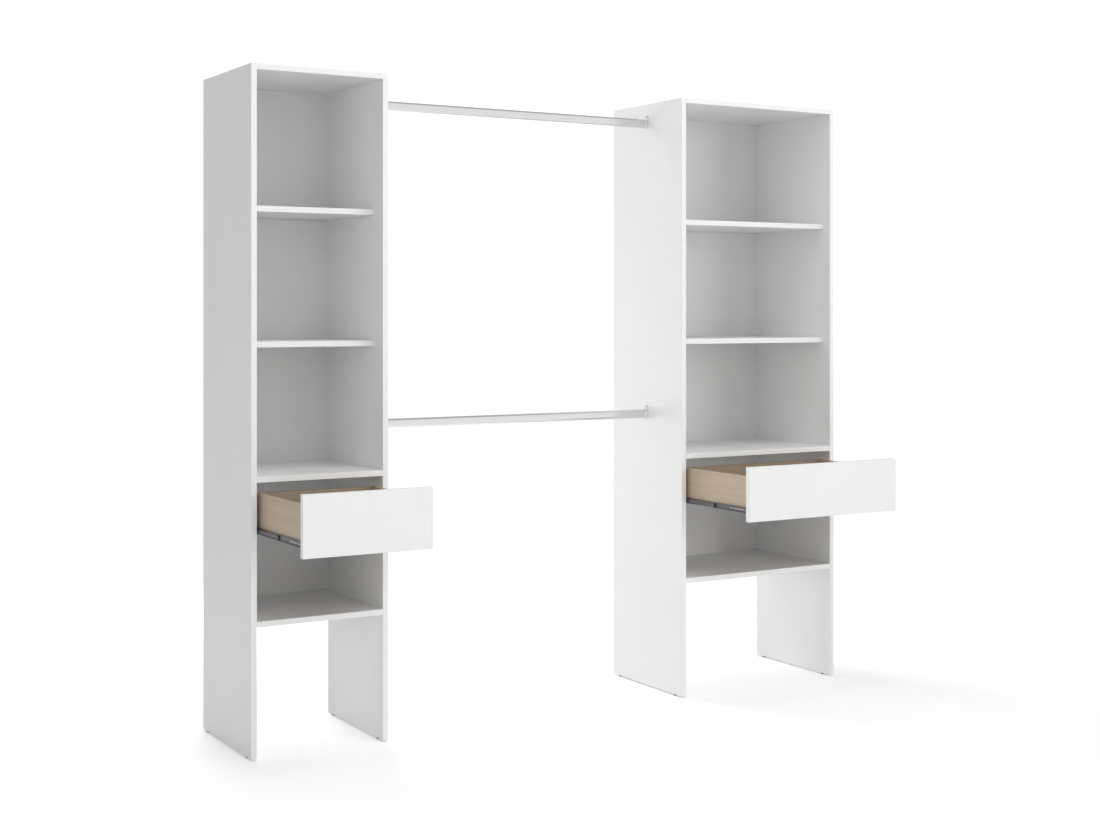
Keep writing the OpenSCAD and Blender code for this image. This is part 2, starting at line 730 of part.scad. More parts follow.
module drawer_back(s) {
    x = drawer_x + drawer_t;
    color(oak) difference() {
        at_drawer(s) translate([x, drawer_rear_y - drawer_t, bottom_z + bottom_t + groove_play])
            cube([inner_w(s) - 2 * x, drawer_t, side_z + drawer_side_h - bottom_z - bottom_t - groove_play]);
        for (side = [1, -1], z = back_screw_zs)
            at_drawer_side(s, side) translate([-drawer_t, drawer_rear_y - drawer_t / 2, z])
                flat_screw_hole(screw_d, screw_head_d, screw_head_h, back_screw_l);
    }
}

module drawer_bottom(s) {
    x = drawer_x + drawer_t - groove_d + groove_gap;
    y = board_t - groove_d + groove_gap;
    color(oak) at_drawer(s) translate([x, y, bottom_z])
        cube([inner_w(s) - 2 * x, drawer_rear_y - y, bottom_t]);
}

module drawer_fasteners(s) {
    color(zinc) for (side = [1, -1]) at_drawer_side(s, side) {
        for (z = small_cam_zs) {
            translate([-small_cam_recess, board_t + small_reach, z]) turned_cam() cam(
                small_cam_d, small_cam_h, drawer_t / 2 - small_cam_recess,
                small_neck_d, small_head_d, small_head_h);
            translate([-drawer_t / 2, board_t, z]) rotate([0, 0, 90])
                cam_bolt(small_neck_d, small_head_d, small_head_h, small_reach);
        }
        for (z = back_screw_zs) translate([-drawer_t, drawer_rear_y - drawer_t / 2, z])
            flat_screw(screw_d, screw_head_d, screw_head_h, back_screw_l);
        for (y = moving_screw_ys)
            translate([-drawer_t - metal_t, runner_front + y, side_z + runner_h / 2])
                flat_screw(runner_screw_d, runner_screw_head_d, metal_t, metal_t + drawer_screw_in);
    }
}

module drawer_dowels(s) {
    color(beech) for (side = [1, -1]) at_drawer_side(s, side)
        translate([-drawer_t / 2, board_t - small_dowel_l / 2, small_dowel_z])
            rod_y(small_dowel_d, small_dowel_l);
}

left_outer_panel();
left_inner_panel();
left_top_panel();
left_upper_shelf();
left_lower_shelf();
left_fixed_shelf();
left_bottom_shelf();
left_back_panel();
right_inner_panel();
right_outer_panel();
right_top_panel();
right_upper_shelf();
right_lower_shelf();
right_fixed_shelf();
right_bottom_shelf();
right_back_panel();
shelf_pins();
cam_locks();
cam_bolts();
dowels();
back_nails();
floor_glides();
upper_rail();
lower_rail();
upper_rail_brackets();
lower_rail_brackets();
bracket_screws();
runner_screws();
runner_fixed(0, 1);  // left_drawer_left_fixed_channel
runner_fixed(0, -1);  // left_drawer_right_fixed_channel
runner_middle(0, 1);  // left_drawer_left_middle_beam
runner_middle(0, -1);  // left_drawer_right_middle_beam
runner_moving(0, 1);  // left_drawer_left_moving_channel
runner_moving(0, -1);  // left_drawer_right_moving_channel
cages_fixed(0);  // left_drawer_fixed_cages
cages_moving(0);  // left_drawer_moving_cages
release_levers(0);  // left_drawer_release_levers
drawer_front(0);  // left_drawer_front
drawer_side(0, 1);  // left_drawer_left_side
drawer_side(0, -1);  // left_drawer_right_side
drawer_back(0);  // left_drawer_back
drawer_bottom(0);  // left_drawer_bottom
drawer_fasteners(0);  // left_drawer_fasteners
drawer_dowels(0);  // left_drawer_dowels
runner_fixed(1, 1);  // right_drawer_left_fixed_channel
runner_fixed(1, -1);  // right_drawer_right_fixed_channel
runner_middle(1, 1);  // right_drawer_left_middle_beam
runner_middle(1, -1);  // right_drawer_right_middle_beam
runner_moving(1, 1);  // right_drawer_left_moving_channel
runner_moving(1, -1);  // right_drawer_right_moving_channel
cages_fixed(1);  // right_drawer_fixed_cages
cages_moving(1);  // right_drawer_moving_cages
release_levers(1);  // right_drawer_release_levers
drawer_front(1);  // right_drawer_front
drawer_side(1, 1);  // right_drawer_left_side
drawer_side(1, -1);  // right_drawer_right_side
drawer_back(1);  // right_drawer_back
drawer_bottom(1);  // right_drawer_bottom
drawer_fasteners(1);  // right_drawer_fasteners
drawer_dowels(1);  // right_drawer_dowels
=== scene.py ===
import math

import bmesh
import bpy
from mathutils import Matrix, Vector


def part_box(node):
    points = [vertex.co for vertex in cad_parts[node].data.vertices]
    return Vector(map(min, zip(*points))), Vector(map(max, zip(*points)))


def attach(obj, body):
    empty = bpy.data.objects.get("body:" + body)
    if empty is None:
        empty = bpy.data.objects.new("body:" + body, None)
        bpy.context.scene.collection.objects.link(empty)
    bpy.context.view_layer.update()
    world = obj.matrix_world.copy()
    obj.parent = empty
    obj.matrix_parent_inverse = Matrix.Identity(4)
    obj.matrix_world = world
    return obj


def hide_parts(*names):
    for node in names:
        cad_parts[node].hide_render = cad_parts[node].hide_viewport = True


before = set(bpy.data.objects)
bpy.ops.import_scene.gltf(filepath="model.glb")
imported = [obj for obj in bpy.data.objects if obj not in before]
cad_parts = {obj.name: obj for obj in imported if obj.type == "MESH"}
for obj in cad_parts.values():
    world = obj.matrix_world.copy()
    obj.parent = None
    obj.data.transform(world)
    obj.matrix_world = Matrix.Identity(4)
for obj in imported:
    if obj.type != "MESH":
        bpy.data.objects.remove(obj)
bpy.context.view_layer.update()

print("wardrobe frame loaded:", len(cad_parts), "nodes")

quarter = math.radians(90)
sameSpot = 0.00002  # metres, within which two places count as one
mergeWithin = 0.000005
flatWithin = math.radians(0.2)
colourSocket, valueSocket, vectorSocket = "NodeSocketColor", "NodeSocketFloat", "NodeSocketVector"
noiseSpan = (0.3, 0.7)  # nearly all of a noise lies between these


# helpers for selecting

def deselectAll():
    if bpy.context.object and bpy.context.object.mode != "OBJECT":
        bpy.ops.object.mode_set(mode="OBJECT")
    bpy.ops.object.select_all(action="DESELECT")


def makeActive(piece):
    deselectAll()
    piece.select_set(True)
    bpy.context.view_layer.objects.active = piece


# helpers for node trees

def feed(tree, value, socket):
    if isinstance(value, (int, float, tuple)):  # a plain value goes on the socket, the rest is linked
        socket.default_value = value
    else:
        tree.links.new(value, socket)


def addNode(tree, kind, values=None, **settings):
    # values are for the inputs, settings for the node itself
    node = tree.nodes.new(kind)
    for name, value in settings.items():
        setattr(node, name, value)
    for name, value in (values or {}).items():
        feed(tree, value, node.inputs[name])
    return node


def calc(tree, operation, *values):
    return addNode(tree, "ShaderNodeMath", dict(enumerate(values)), operation=operation).outputs[0]


def combine(tree, operation, *vectors):
    node = addNode(tree, "ShaderNodeVectorMath", dict(enumerate(vectors)), operation=operation)
    return node.outputs["Vector"]


def blendColour(tree, amount, first, second, way="MIX"):
    node = addNode(tree, "ShaderNodeMix", {"Factor": amount, "A": first, "B": second},
                   data_type="RGBA", blend_type=way)
    return node.outputs["Result"]


def blendValue(tree, amount, first, second):
    node = addNode(tree, "ShaderNodeMix", {"Factor": amount, "A": first, "B": second}, data_type="FLOAT")
    return node.outputs["Result"]


def shadeBy(tree, colour, amount):
    # multiplies a colour by a value that changes over the surface
    grey = addNode(tree, "ShaderNodeCombineColor", {0: amount, 1: amount, 2: amount})
    return blendColour(tree, 1.0, colour, grey.outputs[0], "MULTIPLY")


def scaled(tree, vector, scale):
    return addNode(tree, "ShaderNodeMapping", {"Vector": vector, "Scale": scale}).outputs["Vector"]


def turned(tree, vector, turn, middle=(0, 0, 0)):
    node = addNode(tree, "ShaderNodeMapping", {"Vector": vector, "Rotation": turn, "Location": middle})
    return node.outputs["Vector"]


def split(tree, vector):
    return addNode(tree, "ShaderNodeSeparateXYZ", {"Vector": vector}).outputs


def noise(tree, vector, scale=1.0, detail=2.0, roughness=0.5, distortion=0.0):
    node = addNode(tree, "ShaderNodeTexNoise", {"Vector": vector, "Scale": scale, "Detail": detail,
                                                "Roughness": roughness, "Distortion": distortion})
    return node.outputs["Fac"]


def cells(tree, vector, scale=1.0):
    # loose cells: the tone of each cell and the distance from its middle
    node = addNode(tree, "ShaderNodeTexVoronoi", {"Vector": vector, "Scale": scale, "Randomness": 1.0},
                   feature="F1")
    tone = addNode(tree, "ShaderNodeSeparateColor", {"Color": node.outputs["Color"]})
    return tone.outputs[0], node.outputs["Distance"]


def rangeOf(tree, value, low, high, toLow=0.0, toHigh=1.0, smooth=False):
    node = addNode(tree, "ShaderNodeMapRange",
                   {"Value": value, "From Min": low, "From Max": high, "To Min": toLow, "To Max": toHigh},
                   interpolation_type="SMOOTHSTEP" if smooth else "LINEAR", clamp=True)
    return node.outputs["Result"]


def newGroup(name, inputs, outputs):
    tree = bpy.data.node_groups.new(name, "ShaderNodeTree")
    for label, kind, value in inputs:
        socket = tree.interface.new_socket(name=label, in_out="INPUT", socket_type=kind)
        if value is not None:
            socket.default_value = value
    for label, kind in outputs:
        tree.interface.new_socket(name=label, in_out="OUTPUT", socket_type=kind)
    start = tree.nodes.new("NodeGroupInput")
    end = tree.nodes.new("NodeGroupOutput")
    return tree, start.outputs, end.inputs


def useGroup(tree, group, values):
    return addNode(tree, "ShaderNodeGroup", values, node_tree=group).outputs


def newMaterial(name, metallic=0.0):
    material = bpy.data.materials.new(name)
    material.use_nodes = True
    tree = material.node_tree
    shader = tree.nodes["Principled BSDF"]
    shader.inputs["Metallic"].default_value = metallic
    coords = tree.nodes.new("ShaderNodeTexCoord")
    return material, tree, shader, coords.outputs


def finishSurface(tree, shader, colour, roughness, height, bump, relief):
    # bump is the strength of the relief, and relief its depth in metres
    uneven = addNode(tree, "ShaderNodeBump", {"Height": height, "Strength": bump, "Distance": relief})
    tree.links.new(colour, shader.inputs["Base Color"])
    tree.links.new(roughness, shader.inputs["Roughness"])
    tree.links.new(uneven.outputs["Normal"], shader.inputs["Normal"])


# effects that several finishes share

def buildEdgeWear():
    # rubbed patches along a board's edges, found from the two corners that each board carries
    tree, take, give = newGroup(
        "edgeWear",
        [("RubScale", valueSocket, 60.0), ("Reach", valueSocket, 0.002), ("PatchFrom", valueSocket, 0.4),
         ("PatchTo", valueSocket, 0.75), ("Most", valueSocket, 0.5)],
        [("Worn", valueSocket), ("Distance", valueSocket), ("FromFront", valueSocket)])
    place = addNode(tree, "ShaderNodeTexCoord").outputs["Object"]
    low = addNode(tree, "ShaderNodeAttribute", attribute_name="lowCorner").outputs["Vector"]
    high = addNode(tree, "ShaderNodeAttribute", attribute_name="highCorner").outputs["Vector"]
    fromLow = combine(tree, "SUBTRACT", place, low)
    fromHigh = combine(tree, "SUBTRACT", high, place)
    x, y, z = split(tree, combine(tree, "MINIMUM", fromLow, fromHigh))
    total = calc(tree, "ADD", calc(tree, "ADD", x, y), z)
    most = calc(tree, "MAXIMUM", calc(tree, "MAXIMUM", x, y), z)
    least = calc(tree, "MINIMUM", calc(tree, "MINIMUM", x, y), z)
    distance = calc(tree, "SUBTRACT", calc(tree, "SUBTRACT", total, most), least)
    rub = noise(tree, place, take["RubScale"], detail=3.0, roughness=0.6)
    worn = calc(tree, "MULTIPLY", rangeOf(tree, distance, 0.0, take["Reach"], 1.0, 0.0, smooth=True),
                rangeOf(tree, rub, take["PatchFrom"], take["PatchTo"], 0.0, take["Most"]))
    tree.links.new(worn, give["Worn"])
    tree.links.new(distance, give["Distance"])
    tree.links.new(split(tree, fromLow)["Y"], give["FromFront"])
    return tree


melamineTexture = {"pearlScale": 1300, "pearlSpan": (0.25, 0.75), "pearlTone": 0.01, "cloudScale": 2.2,
                   "cloudTone": (0.988, 1.004), "wipedStretch": (22, 22, 5), "wipedScale": 1.6,
                   "wipedSpan": (0.42, 0.72), "wipedRoughness": 0.035, "roughness": (0.4, 0.46)}


def buildMelamine(texture):
    # printed white facing: fine pearl texture, faint clouds and wiped marks
    tree, take, give = newGroup(
        "melamineFace",
        [("Colour", colourSocket, (0.8, 0.8, 0.8, 1)), ("Place", vectorSocket, None),
         ("Marks", valueSocket, 1.0)],
        [("Colour", colourSocket), ("Roughness", valueSocket), ("Height", valueSocket)])
    pearl = noise(tree, take["Place"], texture["pearlScale"], detail=2.0, roughness=0.6)
    cloud = noise(tree, take["Place"], texture["cloudScale"], detail=3.0, roughness=0.55)
    wiped = noise(tree, scaled(tree, take["Place"], texture["wipedStretch"]), texture["wipedScale"],
                  detail=4.0, roughness=0.6, distortion=0.3)
    speckle = rangeOf(tree, pearl, *texture["pearlSpan"], -texture["pearlTone"], texture["pearlTone"])
    shade = calc(tree, "ADD", rangeOf(tree, cloud, *noiseSpan, *texture["cloudTone"]), speckle)
    marks = calc(tree, "MULTIPLY", take["Marks"],
                 rangeOf(tree, wiped, *texture["wipedSpan"], 0.0, texture["wipedRoughness"], smooth=True))
    roughness = calc(tree, "ADD", marks, rangeOf(tree, pearl, *noiseSpan, *texture["roughness"]))
    tree.links.new(shadeBy(tree, take["Colour"], shade), give["Colour"])
    tree.links.new(roughness, give["Roughness"])
    tree.links.new(pearl, give["Height"])
    return tree


chipTexture = {"chipStretch": (420, 420, 650), "darkChip": (0.30, 0.20, 0.12, 1),
               "middleChip": (0.50, 0.38, 0.25, 1), "middleAt": 0.35, "paleChip": (0.62, 0.49, 0.33, 1),
               "gapSpan": (0.25, 0.75), "gapTone": 0.55, "fibreStretch": (900, 900, 2600),
               "fibreTone": (0.86, 1.08)}


def buildChipCore(texture):
    # cut particle board: pressed chips of several tones with darker gaps
    tree, take, give = newGroup(
        "chipCore", [("Place", vectorSocket, None)],
        [("Colour", colourSocket), ("Height", valueSocket)])
    tone, away = cells(tree, scaled(tree, take["Place"], texture["chipStretch"]))
    ramp = addNode(tree, "ShaderNodeValToRGB", {"Fac": tone})
    ramp.color_ramp.elements[0].color = texture["darkChip"]
    ramp.color_ramp.elements[1].color = texture["paleChip"]
    ramp.color_ramp.elements.new(texture["middleAt"]).color = texture["middleChip"]
    gaps = rangeOf(tree, away, *texture["gapSpan"], 1.0, texture["gapTone"], smooth=True)
    fibre = noise(tree, scaled(tree, take["Place"], texture["fibreStretch"]), detail=3.0)
    dark = calc(tree, "MULTIPLY", gaps, rangeOf(tree, fibre, *noiseSpan, *texture["fibreTone"]))
    tree.links.new(shadeBy(tree, ramp.outputs[0], dark), give["Colour"])
    tree.links.new(calc(tree, "MULTIPLY", dark, fibre), give["Height"])
    return tree


grainTexture = {"wanderStretch": (1.3, 9, 9), "wander": 0.035, "streakStretch": (1.6, 85, 85),
                "streakTone": 0.75, "fibreStretch": (14, 620, 620), "fibreTone": (-0.12, 0.3),
                "fibreHeight": 0.5, "poreStretch": (55, 1150, 1150), "poreSpan": (0.62, 0.7),
                "poreTone": 0.55, "roughness": (0.42, 0.54)}


def buildGrain(texture):
    # printed or real wood, its grain along the first coordinate
    tree, take, give = newGroup(
        "woodGrain",
        [("Along", vectorSocket, None), ("Light", colourSocket, (0.6, 0.5, 0.4, 1)),
         ("Dark", colourSocket, (0.4, 0.3, 0.2, 1)), ("Pores", valueSocket, 0.5)],
        [("Colour", colourSocket), ("Roughness", valueSocket), ("Height", valueSocket)])
    wander = noise(tree, scaled(tree, take["Along"], texture["wanderStretch"]))
    sideways = calc(tree, "MULTIPLY", wander, texture["wander"])
    shift = addNode(tree, "ShaderNodeCombineXYZ", {"Y": sideways, "Z": sideways})
    along = combine(tree, "ADD", take["Along"], shift.outputs[0])
    streaks = noise(tree, scaled(tree, along, texture["streakStretch"]), detail=4.0, roughness=0.6)
    fibre = noise(tree, scaled(tree, along, texture["fibreStretch"]))
    pores = noise(tree, scaled(tree, along, texture["poreStretch"]), detail=1.0)
    poreMask = calc(tree, "MULTIPLY", rangeOf(tree, pores, *texture["poreSpan"]), take["Pores"])
    tone = calc(tree, "ADD", rangeOf(tree, streaks, *noiseSpan, 0.0, texture["streakTone"]),
                rangeOf(tree, fibre, *noiseSpan, *texture["fibreTone"]))
    wood = blendColour(tree, tone, take["Dark"], take["Light"])
    pored = blendColour(tree, calc(tree, "MULTIPLY", poreMask, texture["poreTone"]), wood, take["Dark"])
    tree.links.new(pored, give["Colour"])
    tree.links.new(rangeOf(tree, fibre, *noiseSpan, *texture["roughness"]), give["Roughness"])
    height = calc(tree, "SUBTRACT", calc(tree, "MULTIPLY", fibre, texture["fibreHeight"]), poreMask)
    tree.links.new(height, give["Height"])
    return tree


metalTexture = {"lineStretch": (1, 26, 26), "lineScale": 90, "lineSpan": (0.35, 0.65),
                "lineRoughness": (-0.03, 0.04), "smudgeScale": 26, "smudgeTone": (-0.07, 0.03),
                "smudgeSpan": (0.35, 0.75), "smudgeRoughness": (-0.03, 0.09), "spotScale": 700,
                "spotTone": 0.11}


def buildMetal(texture):
    # plated or rolled metal: drawn lines along the first coordinate, smudges and small spots
    tree, take, give = newGroup(
        "metalFace",
        [("Place", vectorSocket, None), ("Colour", colourSocket, (0.6, 0.6, 0.6, 1)),
         ("Base", valueSocket, 0.3), ("Spots", valueSocket, 0.5), ("Marks", valueSocket, 1.0)],
        [("Colour", colourSocket), ("Roughness", valueSocket), ("Height", valueSocket)])
    lines = noise(tree, scaled(tree, take["Place"], texture["lineStretch"]), texture["lineScale"],
                  detail=3.0, roughness=0.6)
    smudge = noise(tree, take["Place"], texture["smudgeScale"], detail=3.0, roughness=0.6, distortion=0.4)
    spotted = cells(tree, take["Place"], texture["spotScale"])[0]
    spots = calc(tree, "MULTIPLY", take["Spots"],
                 rangeOf(tree, spotted, 0.0, 1.0, -texture["spotTone"], texture["spotTone"]))
    dull = calc(tree, "MULTIPLY", rangeOf(tree, smudge, *noiseSpan, *texture["smudgeTone"]), take["Marks"])
    shade = calc(tree, "ADD", calc(tree, "ADD", dull, 1.0), spots)
    change = calc(tree, "ADD",
                  rangeOf(tree, smudge, *texture["smudgeSpan"], *texture["smudgeRoughness"]),
                  rangeOf(tree, lines, *texture["lineSpan"], *texture["lineRoughness"]))
    change = calc(tree, "MULTIPLY", change, take["Marks"])
    tree.links.new(shadeBy(tree, take["Colour"], shade), give["Colour"])
    tree.links.new(calc(tree, "ADD", take["Base"], change), give["Roughness"])
    tree.links.new(lines, give["Height"])
    return tree


mouldingTexture = {"fineScale": 2200, "scuffStretch": (60, 220, 120), "scuffSpan": (0.52, 0.72),
                   "scuffColour": (0.5, 0.5, 0.48, 1), "scuffTone": 0.3, "scuffRoughness": 0.15,
                   "roughness": (0.42, 0.52)}


def buildMoulding(texture):
    # moulded plastic: fine matt texture with scuffs
    tree, take, give = newGroup(
        "mouldedFace",
        [("Place", vectorSocket, None), ("Colour", colourSocket, (0.5, 0.5, 0.5, 1)),
         ("Scuffs", valueSocket, 0.5)],
        [("Colour", colourSocket), ("Roughness", valueSocket), ("Height", valueSocket)])
    fine = noise(tree, take["Place"], texture["fineScale"], detail=2.0, roughness=0.6)
    scuff = noise(tree, scaled(tree, take["Place"], texture["scuffStretch"]), detail=4.0, roughness=0.65)
    mask = calc(tree, "MULTIPLY", rangeOf(tree, scuff, *texture["scuffSpan"]), take["Scuffs"])
    faded = calc(tree, "MULTIPLY", mask, texture["scuffTone"])
    roughness = calc(tree, "ADD", rangeOf(tree, fine, *noiseSpan, *texture["roughness"]),
                     calc(tree, "MULTIPLY", mask, texture["scuffRoughness"]))
    tree.links.new(blendColour(tree, faded, take["Colour"], texture["scuffColour"]), give["Colour"])
    tree.links.new(roughness, give["Roughness"])
    tree.links.new(fine, give["Height"])
    return tree


edgeWear = buildEdgeWear()
melamineFace = buildMelamine(melamineTexture)
chipCore = buildChipCore(chipTexture)
woodGrain = buildGrain(grainTexture)
metalFace = buildMetal(metalTexture)
mouldedFace = buildMoulding(mouldingTexture)
print("shared effects built:", len(bpy.data.node_groups))


# finishes of the boards

boardRelief = 0.0002  # metres, how deep the texture of the surface goes
mostlyAlong = 0.5  # share of a normal past which a face looks along that axis
squarelyAlong = 0.9  # the same, but leaving out the rounded edges
whiteFacing = {"colour": (0.86, 0.86, 0.858, 1), "marks": 1.0, "bandWidth": 0.0009,
               "seamTone": (0.25, 0.25, 0.24, 1), "seamStrength": 0.18, "seamWidth": 0.00016,
               "edgeTone": (0.82, 0.82, 0.815, 1), "wornRoughness": 0.2, "rawRoughness": 0.85, "bump": 0.12,
               "wear": {"RubScale": 60.0, "Reach": 0.0022, "PatchFrom": 0.45, "PatchTo": 0.75, "Most": 0.5}}
# raw faces are sawn and have no edge band, and the others have a band that shows as a hairline
whiteBoards = {
    "panelBoard": {"rawRear": True, "rawLower": True, "bandAllRound": False},
    "shelfBoard": {"rawRear": True, "rawLower": False, "bandAllRound": False},
    "frontBoard": {"rawRear": False, "rawLower": False, "bandAllRound": True},
}


def boardMaterial(name, facing, kind):
    material, tree, shader, coords = newMaterial(name)
    face = useGroup(tree, melamineFace, {"Colour": facing["colour"], "Place": coords["Object"],
                                         "Marks": facing["marks"]})
    edge = useGroup(tree, edgeWear, facing["wear"])
    normal = split(tree, coords["Normal"])
    # hairline where the edge band meets the facing, on the broad faces only
    across = calc(tree, "ABSOLUTE", normal["Y"])
    reach = edge["Distance"] if kind["bandAllRound"] else edge["FromFront"]
    offLine = calc(tree, "ABSOLUTE", calc(tree, "SUBTRACT", reach, facing["bandWidth"]))
    broad = calc(tree, "GREATER_THAN" if kind["bandAllRound"] else "LESS_THAN", across, mostlyAlong)
    seam = calc(tree, "MULTIPLY", calc(tree, "LESS_THAN", offLine, facing["seamWidth"] / 2), broad)
    seam = calc(tree, "MULTIPLY", seam, facing["seamStrength"])
    # rubbed edges
    colour = blendColour(tree, edge["Worn"], face["Colour"], facing["edgeTone"])
    colour = blendColour(tree, seam, colour, facing["seamTone"])
    rough = calc(tree, "ADD", face["Roughness"],
                 calc(tree, "MULTIPLY", edge["Worn"], facing["wornRoughness"]))
    height = face["Height"]
    if kind["rawRear"]:
        core = useGroup(tree, chipCore, {"Place": coords["Object"]})
        raw = calc(tree, "GREATER_THAN", normal["Y"], squarelyAlong)
        if kind["rawLower"]:
            raw = calc(tree, "MAXIMUM", raw, calc(tree, "LESS_THAN", normal["Z"], -squarelyAlong))
        colour = blendColour(tree, raw, colour, core["Colour"])
        rough = blendValue(tree, raw, rough, facing["rawRoughness"])
        height = blendValue(tree, raw, height, core["Height"])
    finishSurface(tree, shader, colour, rough, height, facing["bump"], boardRelief)
    return material


backSheetFinish = {"inside": (0.79, 0.79, 0.787, 1), "marks": 1.0, "fibreDark": (0.19, 0.115, 0.062, 1),
                   "fibreLight": (0.33, 0.215, 0.122, 1), "fibreStretch": (260, 260, 150),
                   "fibreTone": (0.0, 0.75), "cloudScale": 5.0, "cloudTone": (-0.1, 0.3),
                   "fibreRoughness": 0.78, "bump": 0.15}


def backSheetMaterial(name, finish):
    # thin hardboard: white lacquer to the inside and over the edges, raw brown fibre to the wall
    material, tree, shader, coords = newMaterial(name)
    face = useGroup(tree, melamineFace, {"Colour": finish["inside"], "Place": coords["Object"],
                                         "Marks": finish["marks"]})
    fibre = noise(tree, scaled(tree, coords["Object"], finish["fibreStretch"]), detail=5.0,
                  roughness=0.7, distortion=1.2)
    cloud = noise(tree, coords["Object"], finish["cloudScale"], detail=4.0, roughness=0.6)
    tone = calc(tree, "ADD", rangeOf(tree, fibre, *noiseSpan, *finish["fibreTone"]),
                rangeOf(tree, cloud, *noiseSpan, *finish["cloudTone"]))
    brown = blendColour(tree, tone, finish["fibreDark"], finish["fibreLight"])
    inside = calc(tree, "LESS_THAN", split(tree, coords["Normal"])["Y"], mostlyAlong)
    colour = blendColour(tree, inside, brown, face["Colour"])
    rough = blendValue(tree, inside, finish["fibreRoughness"], face["Roughness"])
    height = blendValue(tree, inside, fibre, face["Height"])
    finishSurface(tree, shader, colour, rough, height, finish["bump"], boardRelief)
    return material


woodWear = {"RubScale": 90.0, "Reach": 0.002, "PatchFrom": 0.4, "PatchTo": 0.75, "Most": 0.45}
wornWoodRoughness = 0.12
woods = {
    "oakAlongDepth": {"light": (0.55, 0.443, 0.33, 1), "dark": (0.442, 0.346, 0.253, 1), "pores": 0.5,
                      "bump": 0.1, "turn": (0, 0, -quarter), "middle": (0.3, 0.2, 0.1)},
    # the same oak print as the sides, darkened so that the inside of the drawer looks dim: painted shade
    "oakAlongWidthPaintedShade": {"light": (0.45, 0.36, 0.266, 1), "dark": (0.36, 0.28, 0.203, 1), "pores": 0.5,
                      "bump": 0.1, "turn": (0, 0, 0), "middle": (0, 0, 0.4)},
    "rawBeech": {"light": (0.72, 0.56, 0.38, 1), "dark": (0.55, 0.39, 0.24, 1), "pores": 0.3,
                 "bump": 0.2, "turn": (0, 0, 0), "middle": (0, 0, 0)},
}


def grainMaterial(name, finish):
    material, tree, shader, coords = newMaterial(name)
    along = turned(tree, coords["Object"], finish["turn"], finish["middle"])
    grain = useGroup(tree, woodGrain, {"Along": along, "Light": finish["light"],
                                       "Dark": finish["dark"], "Pores": finish["pores"]})
    worn = useGroup(tree, edgeWear, woodWear)["Worn"]
    colour = blendColour(tree, worn, grain["Colour"], finish["light"])
    rough = calc(tree, "ADD", grain["Roughness"], calc(tree, "MULTIPLY", worn, wornWoodRoughness))
    finishSurface(tree, shader, colour, rough, grain["Height"], finish["bump"], boardRelief)
    return material


# finishes of the metal and plastic fittings

fittingRelief = 0.0001  # metres
metals = {
    "zincFitting": {"colour": (0.7, 0.71, 0.72, 1), "roughness": 0.32, "spots": 0.8, "marks": 1.0,
                    "bump": 0.1, "turn": (0, 0, 0)},
    "nickelPin": {"colour": (0.93, 0.93, 0.92, 1), "roughness": 0.36, "spots": 0.2, "marks": 0.5,
                  "bump": 0.05, "turn": (0, 0, 0)},
    "runnerZinc": {"colour": (0.225, 0.225, 0.23, 1), "roughness": 0.68, "spots": 0.8, "marks": 0.7,
                   "bump": 0.12, "turn": (0, 0, -quarter)},
    "cageSteel": {"colour": (0.58, 0.55, 0.46, 1), "roughness": 0.25, "spots": 0.3, "marks": 1.0,
                  "bump": 0.05, "turn": (0, 0, -quarter)},
    "chromeTube": {"colour": (0.74, 0.74, 0.745, 1), "roughness": 0.2, "spots": 0.0, "marks": 0.25,
                   "bump": 0.01, "turn": (0, 0, 0)},
    "chromeBracket": {"colour": (0.84, 0.84, 0.845, 1), "roughness": 0.24, "spots": 0.2, "marks": 0.6,
                      "bump": 0.05, "turn": (0, 0, 0)},
}
plastics = {
    "blackGlide": {"colour": (0.02, 0.02, 0.021, 1), "scuffs": 0.8, "bump": 0.2},
    "paleLever": {"colour": (0.42, 0.42, 0.41, 1), "scuffs": 0.3, "bump": 0.15},
}


def metalMaterial(name, finish):
    material, tree, shader, coords = newMaterial(name, metallic=1.0)
    along = turned(tree, coords["Object"], finish["turn"])
    face = useGroup(tree, metalFace, {"Place": along, "Colour": finish["colour"],
                                      "Base": finish["roughness"], "Spots": finish["spots"],
                                      "Marks": finish["marks"]})
    finishSurface(tree, shader, face["Colour"], face["Roughness"], face["Height"], finish["bump"],
                  fittingRelief)
    return material


def plasticMaterial(name, finish):
    material, tree, shader, coords = newMaterial(name)
    face = useGroup(tree, mouldedFace, {"Place": coords["Object"], "Colour": finish["colour"],
                                        "Scuffs": finish["scuffs"]})
    finishSurface(tree, shader, face["Colour"], face["Roughness"], face["Height"], finish["bump"],
                  fittingRelief)
    return material


finishes = {"backSheet": backSheetMaterial("backSheet", backSheetFinish)}
for name, kind in whiteBoards.items():
    finishes[name] = boardMaterial(name, whiteFacing, kind)
for name, finish in woods.items():
    finishes[name] = grainMaterial(name, finish)
for name, finish in metals.items():
    finishes[name] = metalMaterial(name, finish)
for name, finish in plastics.items():
    finishes[name] = plasticMaterial(name, finish)
print("finishes built:", len(finishes))


# helpers for the pieces

def facesThrough(point, low, high):
    # the faces of the box that a point lies on
    faces = set()
    for axis in range(3):
        if abs(point[axis] - low[axis]) < sameSpot:
            faces.add((axis, "low"))
        if abs(point[axis] - high[axis]) < sameSpot:
            faces.add((axis, "high"))
    return faces


def dressAs(piece, finish):
    piece.data.materials.clear()
    piece.data.materials.append(finishes[finish])


def standFor(piece, node, body, finish):
    dressAs(piece, finish)
    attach(piece, body)
    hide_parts(node)


def storeCorners(piece, low, high):
    for name, corner in (("lowCorner", low), ("highCorner", high)):
        layer = piece.data.attributes.new(name, "FLOAT_VECTOR", "POINT")
        layer.data.foreach_set("vector", list(corner) * len(piece.data.vertices))


